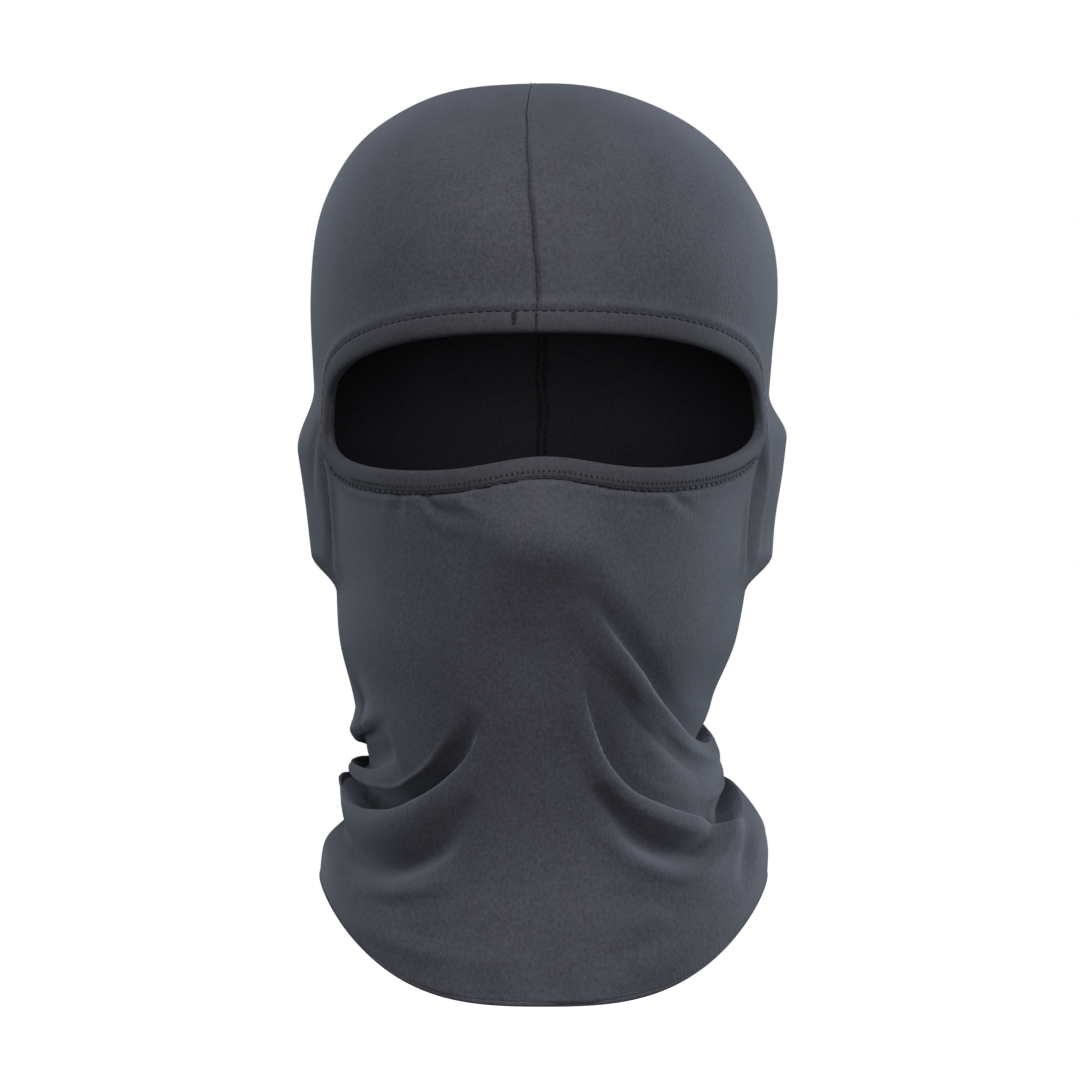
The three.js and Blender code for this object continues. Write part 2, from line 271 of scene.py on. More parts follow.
# The path of each tuck is the edge that shows: the rim of the lower cloth, or the overhang's lower edge.
TUCKS = [
    # left of the neck, from the top
    (OVERHANG, Trail(
        (-115, -232, 0), (-98, -228.5, 0.8), (-86, -225.6, 1), (-76, -224, 1), (-66, -222.4, 0.8),
        (-57, -220.5, 0.3), (-50, -218, 0),
    )),
    (SMALL_CUFF, Trail(
        (-128, -231, 0), (-110, -232.6, 0.7), (-96, -233.8, 1), (-84, -234.6, 1), (-74, -234.8, 0.9),
        (-65, -234.4, 0.5), (-56, -233, 0.2), (-48, -231, 0),
    )),
    (DEEP_POCKET, Trail(
        (-150, -228, 0), (-128, -233, 0.3), (-108, -238, 0.7), (-92, -241.4, 1), (-80, -244.6, 1.05),
        (-70, -247.6, 1), (-60, -249.2, 1), (-47, -248.2, 1), (-38.5, -244.4, 0.95),
        (-32, -240.4, 0.85), (-27, -235.4, 0.65), (-21.5, -228.4, 0.4), (-18, -221, 0.15),
        (-16, -214, 0),
    )),
    # right of the neck, from the top
    (LEANING_CUFF, Trail(
        (11, -174, 0), (16.5, -183, 0.3), (23, -192, 0.5), (32, -201.5, 0.65), (40, -209.4, 0.7),
        (50, -217.2, 0.75), (60, -223.6, 0.8), (72, -227, 0.9), (82, -227.5, 1), (92, -225.5, 1),
        (105, -221, 0.7), (128, -212, 0),
    )),
    (LEANING_CUFF, Trail(
        (12, -197, 0), (16, -211, 0.3), (20.5, -224, 0.55), (24, -232.7, 0.75), (29.5, -241, 0.9),
        (37, -246, 1), (46, -249.6, 1), (57, -252.3, 1), (66, -252, 0.7), (75, -250, 0.25),
        (83, -246.6, 0),
    )),
    (DEEP_POCKET, Trail(
        (56, -252.3, 0), (66, -252, 0.4), (75, -250, 0.85), (83, -247, 1), (92, -243, 1),
        (103, -239, 0.8), (120, -232, 0.4), (140, -225, 0),
    )),
]

# A ridge stands out where height is positive, and is a hollow where it is negative.
RIDGES = [
    # left of the neck: the hollow under the lowest roll, and the soft dents and bulges above the cuff
    (Trail((-118, -246, 0), (-100, -252, 0.8), (-88, -255, 1), (-75, -259.5, 1), (-60, -265.4, 1),
           (-47, -267.6, 1), (-36, -265, 0.8), (-28, -259.5, 0.55), (-22.5, -252, 0.3),
           (-17, -243, 0)), -5.8, 4.2),
    (Trail((-118, -239, 0), (-102, -244.4, 1), (-88, -247.6, 1), (-76, -251.5, 0.6), (-66, -254, 0.2),
           (-58, -256, 0)), 4.8, 3.4),
    (Trail((-82, -251, 0), (-70, -255, 1), (-58, -257, 1), (-47, -256.4, 1), (-36, -252.5, 0.8),
           (-28, -246, 0.4), (-22, -238, 0)), 1.6, 3.8),
    (Trail((-62, -271, 0), (-50, -275.6, 1), (-38, -275.6, 1), (-28, -272.5, 0.6),
           (-20, -268, 0)), 1.2, 2.6),
    (Trail((-76, -231, 0), (-66, -231, 1), (-56, -230, 1), (-47, -227, 0)), -1.6, 3.4),
    (Trail((-73, -204, 0), (-70, -212, 1), (-68, -219, 0.8), (-66, -226, 0)), -1.3, 2.6),
    (Trail((-66, -204, 0), (-58, -213, 1), (-50, -222, 1), (-45, -231, 0.8), (-42, -239, 0)), 1.4, 4.6),
    # right of the neck: the hollow under the lowest roll, the ridge beside it and the dent beyond
    (Trail((17, -239, 0), (21, -247, 0.6), (27, -256, 1), (35, -261.5, 1), (45, -262.6, 1),
           (53, -260, 1), (60, -255.5, 0.7), (67, -250, 0)), -4.4, 4.2),
    (Trail((12, -244, 0), (17, -256, 0.3), (25, -265, 0.6), (36, -270, 0.7), (46, -269, 0.8),
           (55, -263.6, 1), (63, -257.5, 1), (71, -252, 0.6), (79, -247, 0)), 2.0, 3.0),
    (Trail((58, -275, 0), (65, -267, 0.7), (72, -259.5, 1), (80, -255, 1), (90, -252, 0.8),
           (102, -248, 0)), -2.4, 3.2),
    (Trail((29, -206, 0), (34, -212, 0.8), (40, -217, 1), (47, -222.5, 0.6), (55, -227, 0)), -1.2, 2.4),
    (Trail((34, -221, 0), (41, -229, 1), (50, -235, 0.8), (60, -239, 0)), 1.4, 5.5),
    # soft drape lines low on the bib
    (Trail((10, -277, 0), (24, -277, 0.7), (40, -281, 1), (58, -275, 0.8), (74, -262, 0)), -1.0, 4.5),
    (Trail((6, -300, 0), (22, -293, 1), (40, -286, 1), (58, -276, 0)), -0.9, 4.0),
    (Trail((-72, -262, 0), (-56, -275, 1), (-38, -279, 1), (-20, -278, 0)), -0.8, 4.0),
    # the edge that runs from the side of the nose down over the cheek
    (Trail((-24, -137, 0), (-18, -145, 0.8), (-11, -154, 1), (-3, -160, 1), (5, -161.5, 1),
           (11.5, -165, 1), (17.5, -177, 1), (25, -189, 0.6), (33, -199, 0)), 2.0, 8.5),
    # the soft ridge low on the bib
    (Trail((-62, -283, 0), (-50, -288, 1), (-34, -293.5, 1), (-16, -297, 0.6), (0, -299, 0)), 0.9, 3.4),
    # pleats in front of the ears, from the ends of the opening down
    (Trail((-79, -172, 0), (-76, -163, 0.8), (-74, -150, 1), (-74, -137, 1), (-73.5, -127, 0.8),
           (-71, -116, 0)), -1.8, 2.4),
    (Trail((-73, -168, 0), (-71.5, -158, 0.7), (-70, -145, 1), (-69, -134, 0.6),
           (-68, -124, 0)), 1.2, 2.0),
    (Trail((-83, -146, 0), (-80, -134, 0.8), (-76, -123, 0.8), (-72, -116, 0)), -1.0, 1.8),
    (Trail((72, -116, 0), (73, -126, 0.8), (73, -137, 1), (72.2, -150, 1), (72.5, -162, 0.9),
           (76, -171, 0)), -1.9, 2.4),
    (Trail((74, -118, 0), (76.5, -131, 0.8), (77.8, -144, 1), (77, -158, 0.8),
           (78, -168, 0)), 1.4, 1.9),
    (Trail((70, -140, 0), (69.5, -150, 0.8), (69.5, -162, 0.8), (71, -172, 0)), 1.2, 1.8),
    # gathers under the left of the opening
    (Trail((-46, -158, 0), (-44, -150, 0.5), (-41, -145, 1), (-39, -140, 0)), 0.5, 1.6),
    (Trail((-37.6, -152, 0), (-37.5, -147, 0.8), (-37.3, -142, 1), (-37.2, -138, 0)), -0.9, 1.5),
    (Trail((-33, -139, 0), (-31, -145, 1), (-28, -150.5, 1), (-22, -153.8, 0.8),
           (-15, -154, 0)), 0.8, 1.8),
    (Trail((-31, -139, 0), (-28, -144.5, 1), (-24, -148.5, 1), (-18.5, -150.4, 0.8),
           (-12, -150, 0)), -1.1, 1.5),
    (Trail((-23, -140, 0), (-18, -145.5, 1), (-13, -149, 0.7), (-8, -151, 0)), 0.7, 1.6),
    (Trail((-19, -139, 0), (-15.5, -143.5, 1), (-11.5, -147.5, 0)), -0.7, 1.4),
    # and under the right
    (Trail((30, -138, 0), (34.5, -143, 1), (40, -147.4, 0.8), (48, -152, 0)), -0.8, 1.5),
    (Trail((27, -141, 0), (33, -146.5, 1), (40, -150.5, 0)), 0.5, 1.8),
]


# ---------------------------------------------------------------- the face opening

OPENING = {
    "half": 72.1,
    "middle": -113.2,
    "up": 23.3,
    "down": 22.2,
    "square_above": 2.75,  # exponents of the outline: 2 is an ellipse, larger ones squarer
    "square_left": 4.6,
    "square_right": 3.6,
    "nose_lift": 4.8,
    "nose_half": 23,
}
OPENING_TILT = 0.6  # how much lower the left of the lower edge lies, and higher the right
RAW_EDGE = 2.4  # from the finished edge of the opening back to the panel's cut edge
BINDING_WIDTH = 7.0
OPENING_REACH = 22  # distances from the edge are measured up to here
FAR = 100.0


def opening_outline(turn):
    """The finished edge seen from the front, as x and z: a wide slot that the nose's bridge lifts."""
    across, along = np.sin(turn), np.cos(turn)
    upper, left = along > 0, across < 0
    below = np.where(left, OPENING["square_left"], OPENING["square_right"])
    squareness = np.where(upper, OPENING["square_above"], below)
    grow = (np.abs(across) ** squareness + np.abs(along) ** squareness) ** (-1 / squareness)
    x = OPENING["half"] * across * grow
    lifted = OPENING["nose_lift"] * bell(x / OPENING["nose_half"])
    lifted = lifted + OPENING_TILT * x / OPENING["half"]
    z = OPENING["middle"] + np.where(upper, OPENING["up"], OPENING["down"]) * along * grow
    return x, z + lifted * smooth(-3 * along)


# Levels down the front centre line with their heights, to find the level at a height.
level_scale = np.linspace(0, 0.7, 1500)
level_height = section(level_scale)["height"]


def on_face(x, z):
    """theta and level where the front of the hood has this x and z."""
    level = np.interp(-z, -level_height, level_scale)
    s = section(level)
    share = np.clip((x - s["centre"]) / s["half"], -1, 1)
    return np.arcsin(power(share, ROUNDNESS / 2)), level


def opening_frames(spacing):
    """Evenly spaced frames round the opening on the outside: places, outward, away from it, ahead."""
    turn = np.linspace(0, 2 * math.pi, 6001)
    theta, level = on_face(*opening_outline(turn))
    places = surface(theta, level)
    length = running_length(places)
    count = int(round(length[-1] / spacing))
    turn = np.interp(np.arange(count) * length[-1] / count, length, turn)
    theta, level = on_face(*opening_outline(turn))
    places, outward, _, _ = frame_at(theta, level)
    ahead = unit(np.roll(places, -1, axis=0) - np.roll(places, 1, axis=0))
    away = unit(np.cross(outward, ahead))
    return places, outward, away, ahead


def outside_opening(points):
    """Each point's distance from the finished edge, negative inside it, and the edge's nearest point."""
    edge, outward, away, _ = opening_frames(1.5)
    distance = np.full(len(points), FAR)
    target = np.zeros((len(points), 3))
    low, high = edge.min(axis=0) - OPENING_REACH, edge.max(axis=0) + OPENING_REACH
    around = np.flatnonzero(np.all((points > low) & (points < high), axis=1))
    tree = KDTree(len(edge))
    for index, place in enumerate(edge):
        tree.insert(place, index)
    tree.balance()
    nearest = np.array([tree.find(place)[1] for place in points[around]], int)
    gap = points[around] - edge[nearest]
    side = np.sum(gap * away[nearest], axis=-1)
    flat = gap - outward[nearest] * np.sum(gap * outward[nearest], axis=-1, keepdims=True)
    distance[around] = np.sign(side) * np.linalg.norm(flat, axis=-1)
    target[around] = edge[nearest]
    return distance, target


# ---------------------------------------------------------------- mesh helpers

def make_mesh(name, points, faces, materials, slots=None):
    mesh = bpy.data.meshes.new(name)
    mesh.from_pydata((np.asarray(points) * MM).tolist(), [], faces)
    for material in materials:
        mesh.materials.append(material)
    if slots is not None:
        mesh.polygons.foreach_set("material_index", slots)
    mesh.polygons.foreach_set("use_smooth", [True] * len(mesh.polygons))
    mesh.update()
    piece = bpy.data.objects.new(name, mesh)
    bpy.context.scene.collection.objects.link(piece)
    return piece


def ring_faces(rings, size, closed, start=0):
    """Quads of a tube whose rings of points follow each other."""
    faces = []
    for i in range(rings if closed else rings - 1):
        a, b = start + i * size, start + ((i + 1) % rings) * size
        faces += [(a + k, a + (k + 1) % size, b + (k + 1) % size, b + k) for k in range(size)]
    return faces


def sweep(places, outward, away, profile, closed):
    """Points and faces of a section carried along frames.

    profile is a list of (away, outward) pairs, either one for all the frames or one for each.
    """
    profile = np.broadcast_to(profile, (len(places),) + np.shape(profile)[-2:])
    points = places[:, None] + away[:, None] * profile[..., :1] + outward[:, None] * profile[..., 1:]
    size = profile.shape[1]
    faces = ring_faces(len(places), size, closed)
    if not closed:
        tail = (len(places) - 1) * size
        faces += [tuple(range(size))[::-1], tuple(range(tail, tail + size))]
    return points.reshape(-1, 3), faces


STITCH_SIDES = 8
# Places along a stitch, as shares of its half length, with the share of its radius there.
STITCH_SHAPE = [(-1.0, 0.35), (-0.82, 0.8), (-0.4, 1.0), (0.4, 1.0), (0.82, 0.8), (1.0, 0.35)]
STITCH_SAG = 0.35  # how far a stitch's ends dip into the cloth, as a share of its radius


def capsules(ends_a, ends_b, outward, radii, name, material):
    """One piece of many round-ended stitches from ends_a to ends_b, of one radius or one for each."""
    angles = np.arange(STITCH_SIDES) * 2 * math.pi / STITCH_SIDES
    points, faces = [], []
    radii = np.broadcast_to(radii, len(ends_a))
    for a, b, out, radius in zip(ends_a, ends_b, outward, radii):
        ahead = unit(b - a)
        aside = unit(np.cross(ahead, out))
        lift = np.cross(aside, ahead)
        middle, half = (a + b) / 2, np.linalg.norm(b - a) / 2
        start = len(points)
        for along, share in STITCH_SHAPE:
            sag = -STITCH_SAG * radius * along**2
            for angle in angles:
                ring = aside * math.cos(angle) + lift * math.sin(angle)
                points.append(middle + ahead * half * along + lift * sag + ring * radius * share)
        faces += ring_faces(len(STITCH_SHAPE), STITCH_SIDES, False, start)
        faces.append(tuple(range(start, start + STITCH_SIDES))[::-1])
        tail = start + (len(STITCH_SHAPE) - 1) * STITCH_SIDES
        faces.append(tuple(range(tail, tail + STITCH_SIDES)))
    return make_mesh(name, points, faces, [material])


# ---------------------------------------------------------------- materials

class Nodes:
    """A short way to write a material's node tree."""

    def __init__(self, name, color, roughness, sheen, tint):
        self.material = bpy.data.materials.new(name)
        self.material.use_nodes = True
        self.tree = self.material.node_tree
        self.shader = self.tree.nodes["Principled BSDF"]
        self.shader.inputs["Base Color"].default_value = (*color, 1)
        self.shader.inputs["Roughness"].default_value = roughness
        self.shader.inputs["Specular IOR Level"].default_value = 0.28
        self.shader.inputs["Sheen Weight"].default_value = sheen
        self.shader.inputs["Sheen Roughness"].default_value = 0.45
        self.shader.inputs["Sheen Tint"].default_value = (*tint, 1)
        self.place = self.add("ShaderNodeTexCoord").outputs["Object"]

    def add(self, kind, **settings):
        node = self.tree.nodes.new(kind)
        for key, value in settings.items():
            if key.startswith("in_"):
                index = key[3:]
                socket = node.inputs[int(index) if index.isdigit() else index.replace("_", " ")]
                if isinstance(value, bpy.types.NodeSocket):
                    self.tree.links.new(value, socket)
                else:
                    socket.default_value = value
            else:
                setattr(node, key, value)
        return node

    def math(self, operation, a, b=0.0):
        return self.add("ShaderNodeMath", operation=operation, in_0=a, in_1=b).outputs[0]

    def noise(self, per_mm, detail=2.0, roughness=0.5, stretch=(1, 1, 1)):
        mapping = self.add("ShaderNodeMapping", in_Vector=self.place, in_Scale=stretch)
        noise = self.add(
            "ShaderNodeTexNoise", in_Vector=mapping.outputs[0], in_Scale=per_mm / MM, in_Detail=detail,
            in_Roughness=roughness,
        )
        return noise.outputs[0]

    def tint(self, factor, dark, light):
        """Base colour between dark and light, by a factor."""
        ramp = self.add("ShaderNodeMix", data_type="RGBA")
        self.tree.links.new(factor, ramp.inputs["Factor"])
        ramp.inputs["A"].default_value = (*dark, 1)
        ramp.inputs["B"].default_value = (*light, 1)
        self.tree.links.new(ramp.outputs["Result"], self.shader.inputs["Base Color"])

    def bump(self, height, depth_mm):
        node = self.add("ShaderNodeBump", in_Height=height, in_Distance=depth_mm * MM, in_Strength=1.0)
        self.tree.links.new(node.outputs[0], self.shader.inputs["Normal"])


def scaled(color, by):
    return tuple(c * by for c in color)


def jersey(name, color, contrast, sheen):
    """Fine knit: columns of V-shaped stitches, flecked and slightly mottled."""
    m = Nodes(name, color, 0.78, sheen, (0.72, 0.82, 1.0))
    pattern = m.add("ShaderNodeUVMap", uv_map="knit").outputs[0]
    split = m.add("ShaderNodeSeparateXYZ", in_0=pattern)
    wale = m.math("FRACT", m.math("DIVIDE", split.outputs["X"], WALE))
    side = m.math("MULTIPLY", m.math("ABSOLUTE", m.math("SUBTRACT", wale, 0.5)), 2.0)
    course = m.math("DIVIDE", split.outputs["Y"], COURSE)
    slant = m.math("ADD", course, m.math("MULTIPLY", side, 0.5))
    loops = m.math("SINE", m.math("MULTIPLY", slant, 2 * math.pi))
    column = m.math("SUBTRACT", 1.0, m.math("POWER", side, 3.0))
    stitches = m.math("ADD", m.math("MULTIPLY", loops, 0.35), column)
    fleck = m.noise(1.0, 2.5, 0.65, (1.0, 1.0, 0.75))
    mottle = m.noise(0.045, 3.0, 0.55)
    height = m.math("ADD", m.math("MULTIPLY", stitches, 0.3), m.math("MULTIPLY", fleck, 2.0))
    shade = m.math("ADD", m.math("MULTIPLY", m.math("SUBTRACT", fleck, 0.5), 2.6), mottle)
    m.tint(shade, scaled(color, 1 - contrast), scaled(color, 1 + contrast))
    m.bump(height, KNIT_RELIEF)
    return m.material


def yarn(name, color):
    """Spun thread, with a fine twist."""
    m = Nodes(name, color, 0.6, 0.2, (0.8, 0.85, 1.0))
    fleck = m.noise(2.5, 2.0, 0.6)
    m.tint(fleck, scaled(color, 0.7), scaled(color, 1.4))
    m.bump(fleck, YARN_RELIEF)
    return m.material


WALE = 0.8  # width of one column of stitches
COURSE = 0.65  # height of one stitch
KNIT_MM_PER_DEGREE = 1.35  # cloth round the hood in one degree, for the stitch pattern
KNIT_RELIEF = 0.08
YARN_RELIEF = 0.05

KNIT_COLOR = (0.060, 0.061, 0.078)
knit = jersey("knit", KNIT_COLOR, 0.26, 0.25)
# The inside is the reverse face of the same cloth, coloured darker than the outside knit: painted shade
# for the inside of the hood.
knit_inside = jersey("knit_inside", (0.043, 0.040, 0.051), 0.2, 0.05)
binding_knit = jersey("binding_knit", (0.048, 0.048, 0.060), 0.22, 0.15)
dark_thread = yarn("dark_thread", (0.014, 0.014, 0.02))
grey_thread = yarn("grey_thread", (0.05, 0.05, 0.058))


# ---------------------------------------------------------------- the hood

def columns():
    """Turns round the hood, in radians, closer together by the centre seam at the front and back."""
    near = np.arange(0, 4, 0.25)
    blend = np.array([4.0, 4.4, 5.0, 5.8, 6.8, 7.9])
    half = np.concatenate([near, blend, np.arange(8.8, 171.5, 0.9), 180 - blend[::-1], 180 - near[:0:-1]])
    return np.radians(np.concatenate([half, [180], -half[:0:-1]]))


def rows():
    """Levels from just under the pole to the hem, closer together where the neck folds lie."""
    dome = -1 + np.linspace(0, 1, 57)[1:]
    spans = [14, 14, 14, 12, 10, 12, 22, 28, 30, 30, 22, 12, 8]
    tube = [(i + k / n) / len(spans) for i, n in enumerate(spans) for k in range(1, n + 1)]
    return np.concatenate([dome, tube])


def seam_shift(level):
    """How far the centre seam strays from the middle, in radians round the hood."""
    levels = [-1, -0.84, -0.62, -0.4, -0.26, -0.14, -0.03, 0.15, 1]
    front = np.interp(level, levels, [0.0, -0.02, -0.04, -0.041, -0.040, -0.033, -0.022, -0.023, 0.0])
    wobble = 0.002 * np.sin(level * 37 + 1) + 0.0012 * np.sin(level * 91)
    return front + wobble * smooth((level + 1) * 5)


PROFILE_STEPS = 16  # readings of a profile for each of its points


def fold(points, outward, around, up, degrees, edge):
    """Moves the points by every tuck and ridge. The binding keeps the ridges off the cloth beneath it."""
    across = degrees * MM_PER_DEGREE
    loose = smooth((edge - BINDING_WIDTH + 1) / 4)
    height = points[:, 2]
    moved = points.copy()
    for profile, trail in TUCKS:
        near = trail.near(across, height)
        start, strength, direction = trail.measure(across[near], height[near])
        steps = np.linspace(0, len(profile) - 1, PROFILE_STEPS * len(profile))
        curve = catmull_rom(np.array(profile, float), steps)
        inside = (start > curve[0, 0]) & (start < curve[-1, 0])
        below = np.where(inside, np.interp(start, curve[:, 0], curve[:, 1]) - start, 0) * strength
        out = np.where(inside, np.interp(start, curve[:, 0], curve[:, 2]), 0) * strength
        down = around[near] * direction[:, :1] + up[near] * direction[:, 1:]
        moved[near] += outward[near] * out[:, None] + down * below[:, None]
    for trail, tall, width in RIDGES:
        near = trail.near(across, height)
        d, strength, _ = trail.measure(across[near], height[near])
        moved[near] += outward[near] * (tall * strength * loose[near] * bell(d / width))[:, None]
    return moved


# Short creases across the front seam: height, reach to the left, reach to the right, depth, width.
PUCKERS = [
    (-17.5, 9, 1.5, -0.45, 1.3), (-29, 14, 11, -0.3, 3.2), (-36, 6, 4, 0.2, 2.0),
    (-48, 5, 7, -0.22, 1.8), (-58, 7, 4, -0.2, 1.6), (-68, 4, 7, -0.25, 1.5), (-77.5, 3, 8, -0.3, 1.4),
]
SEAM_MM_PER_DEGREE = 1.55  # around the hood, for distances from the centre seam
PUCKER_MM_PER_DEGREE = 1.4  # the same, for the reach of a pucker


def fine_relief(points, degrees, level, edge):
    """Small relief: the centre seam's groove and puckers, the puff by the binding, and soft unevenness."""
    from_seam = np.minimum(np.abs(degrees), 180 - np.abs(degrees)) * SEAM_MM_PER_DEGREE
    height = points[:, 2]
    pull = 0.8 + 0.2 * np.sin(height * 2.1) * np.sin(height * 0.83 + 1)
    groove = -1.3 * bell(from_seam / 0.7) + 0.3 * bell((from_seam - 2.2) / 1.5) * pull
    on_seam = (height > -90) | (np.abs(degrees) > 90)
    relief = groove * on_seam * smooth((level + 1) * 12)
    for at, left, right, depth, width in PUCKERS:
        along = degrees * PUCKER_MM_PER_DEGREE / np.where(degrees < 0, left, right)
        relief += depth * bell((height - at) / width) * bell(along) * (np.abs(degrees) < 90)
    beside = edge - BINDING_WIDTH
    relief += 0.6 * bell((beside - 2.3) / 1.5) - 1.1 * bell((beside - 0.1) / 0.8)
    soft = 0.22 * np.sin(points[:, 0] * 0.13 + height * 0.05) * np.sin(height * 0.11 + 2)
    return relief + soft


def grid_normals(grid):
    """Outward normals of a grid of points whose columns close into rings."""
    east = np.roll(grid, -1, axis=1) - np.roll(grid, 1, axis=1)
    south = np.gradient(grid, axis=0)
    return unit(np.cross(south, east)).reshape(-1, 3)


def grid_quads(rings, size):
    """Quads between the rings, facing out."""
    here = np.arange(size)
    after = np.roll(here, -1)
    quads = []
    for i in range(rings - 1):
        a, b = i * size, (i + 1) * size
        quads.append(np.stack([a + here, b + here, b + after, a + after], axis=1))
    return np.concatenate(quads)


def trim_to_raw_edge(points, quads, edge):
    """Drops the quads inside the panel's cut edge, and moves the points left along it onto it."""
    whole = (edge >= RAW_EDGE)[quads].all(axis=1)
    along_cut = np.intersect1d(quads[whole], quads[~whole])
    _, nearest = outside_opening(points[along_cut])
    towards = nearest - points[along_cut]
    away = np.linalg.norm(towards, axis=1, keepdims=True)
    points[along_cut] += towards * (1 - RAW_EDGE / np.maximum(away, RAW_EDGE))
    return quads[whole]


def open_edges(faces):
    """Edges that only one face has."""
    edges = {}
    for face in faces:
        for a, b in zip(face, face[1:] + face[:1]):
            if (b, a) in edges:
                del edges[(b, a)]
            else:
                edges[(a, b)] = True
    return list(edges)


def thicken(outer, inner, faces):
    """A closed skin between matching outer and inner points.

    Returns its points and faces, the faces' material slots, and which of the points were used.
    """
    total = len(outer)
    inside = [tuple(total + v for v in face[::-1]) for face in faces]
    rims = [(b, a, total + a, total + b) for a, b in open_edges(faces)]
    all_faces = faces + inside + rims
    used = np.zeros(2 * total, bool)
    for face in all_faces:
        used[list(face)] = True
    renumber = np.cumsum(used) - 1
    all_faces = [tuple(int(renumber[v]) for v in face) for face in all_faces]
    slots = [0] * len(faces) + [1] * (len(inside) + len(rims))
    return np.concatenate([outer, inner])[used], all_faces, slots, used


SHIFT_REACH = 0.5  # how far round from the front the grid still follows the seam, in radians


def hood_body():
    """The jersey panel with its folds, and the grid of points that it was made from."""
    phi, level = columns(), rows()
    count = len(phi)
    turn, depth = np.meshgrid(phi, level)
    to_front = bell(turn / SHIFT_REACH)
    theta = turn + seam_shift(depth) * to_front
    points, outward, around, up = (a.reshape(-1, 3) for a in frame_at(theta, depth))
    degrees = np.degrees(turn).ravel()
    edge, _ = outside_opening(points)
    points = fold(points, outward, around, up, degrees, edge)
    grid = points.reshape(len(level), count, 3)

    relief = fine_relief(points, degrees, depth.ravel(), edge)
    points = points + grid_normals(grid) * relief[:, None]
    normals = grid_normals(points.reshape(grid.shape))
    quads = trim_to_raw_edge(points, grid_quads(len(level), count), edge)

    pole = np.array([[CROWN_SHIFT, 0, crown_top]])
    outer = np.concatenate([points, pole])
    inner = np.concatenate([points - normals * CLOTH, pole - [[0, 0, CLOTH]]])
    cap = [(count * len(level), k, (k + 1) % count) for k in range(count)]
    faces = [tuple(q) for q in quads.tolist()] + cap
    skin_points, skin_faces, slots, used = thicken(outer, inner, faces)
    piece = make_mesh("balaclava_hood", skin_points, skin_faces, [knit, knit_inside], slots)

    down = running_length(grid[:, count // 4])
    u = np.append(degrees * KNIT_MM_PER_DEGREE, 0)
    v = np.append(np.repeat(-down, count), 0)
    uv = np.stack([np.tile(u, 2), np.tile(v, 2)], axis=1)[used]
    add_uv(piece, uv)
    return piece, grid


def add_uv(piece, uv):
    """Gives each point's (u, v), in millimetres of cloth, to the knit pattern."""
    layer = piece.data.uv_layers.new(name="knit")
    index = np.empty(len(piece.data.loops), int)
    piece.data.loops.foreach_get("vertex_index", index)
    layer.data.foreach_set("uv", uv[index].ravel().astype(np.float32))


# ---------------------------------------------------------------- the binding and its stitches

# The strip folded over the cut edge, as (away from the opening, outward) points.
BINDING_PROFILE = [
    # the outer leg's face, over the fold and along the inner leg's face
    (7.0, 0.1), (7.1, 0.35), (6.9, 0.7), (6.2, 0.95), (4.8, 1.15), (3.2, 1.25), (1.6, 1.15),
    (0.5, 0.75), (0.0, 0.1), (-0.05, -0.8), (0.4, -1.6), (1.3, -2.1), (3.0, -2.3), (5.0, -2.2),
    (6.1, -2.0), (6.4, -1.75),
    # back between the legs
    (6.0, -1.5), (4.5, -1.4), (2.6, -1.35), (1.6, -1.0), (1.2, -0.4), (1.6, 0.1), (3.0, 0.35),
    (4.6, 0.3), (6.2, 0.12),
]
BINDING_CENTRE = (3.4, 0.0)  # each rib widens the section from here
RIB_PITCH = 1.05
RIB_STEPS = 4  # frames for each rib
RIB_SWELL = 0.018  # how much each rib widens the section


def face_binding():
    places, outward, away, _ = opening_frames(RIB_PITCH / RIB_STEPS)
    profile = np.array(BINDING_PROFILE)
    centre = np.array(BINDING_CENTRE)
    swell = 1 + RIB_SWELL * np.sin(np.arange(len(places)) * 2 * math.pi / RIB_STEPS)
    shaped = centre + (profile - centre) * swell[:, None, None]
    points, faces = sweep(places, outward, away, shaped, closed=True)
    piece = make_mesh("eye_opening_binding", points, faces, [binding_knit])
    along = np.repeat(np.arange(len(places)) * RIB_PITCH / RIB_STEPS, len(profile))
    around = np.tile(running_length(profile), len(places))
    add_uv(piece, np.stack([along, around], axis=1))
    return piece


CREASE_PITCH = 3.0  # spacing of the dashes in the crease
CREASE_RADIUS = 0.55
EDGE_PITCH = 1.8  # spacing of the small stitches on the binding below the opening
EDGE_RADIUS = 0.34
EDGE_SETBACK = 2.0  # from the binding's outer edge


def crease_stitches_and_painted_shadow():
    """Ends of the dashes in the crease all round, which almost meet at the sides and below: there the
    nearly unbroken dark thread also paints the shadow line in the crease under the binding.
    """
    places, outward, away, ahead = opening_frames(CREASE_PITCH)
    middle = places + away * (BINDING_WIDTH + 0.35) + outward * 0.35
    # Below the opening the dashes lengthen until they almost join: a dark line of thread that stands in
    # for the shade in the crease, painted shadow.
    below = smooth((OPENING["middle"] + 16 - places[:, 2:]) / 14)
    reach = ahead * CREASE_PITCH * (0.37 + 0.15 * below)
    return middle - reach, middle + reach, outward


def edge_stitches():
    """Ends of a row of small upright stitches on the binding, only below the opening."""
    places, outward, away, ahead = opening_frames(EDGE_PITCH)
    lower = (places[:, 2] < OPENING["middle"] - 12) & (places[:, 0] > -OPENING["half"] + 8)
    places, outward, away, ahead = (a[lower] for a in (places, outward, away, ahead))
    middle = places + away * (BINDING_WIDTH - EDGE_SETBACK) + outward * 1.15
    lean = ahead * 0.2 * np.where(np.arange(len(places)) % 2, 1, -1)[:, None]
    upright = away * 0.55 + lean
    return middle - upright, middle + upright, outward


def coverstitch():
    crease, edge = crease_stitches_and_painted_shadow(), edge_stitches()
    ends_a, ends_b, outward = (np.concatenate(pair) for pair in zip(crease, edge))
    radii = np.repeat([CREASE_RADIUS, EDGE_RADIUS], [len(crease[0]), len(edge[0])])
    return capsules(ends_a, ends_b, outward, radii, "binding_stitches_and_painted_shadow", dark_thread)


BAR_PITCH = 0.7
BAR_RADIUS = 0.34
BAR_SEAT = 1.25  # height of the stitches over the cloth, on the binding's outer leg


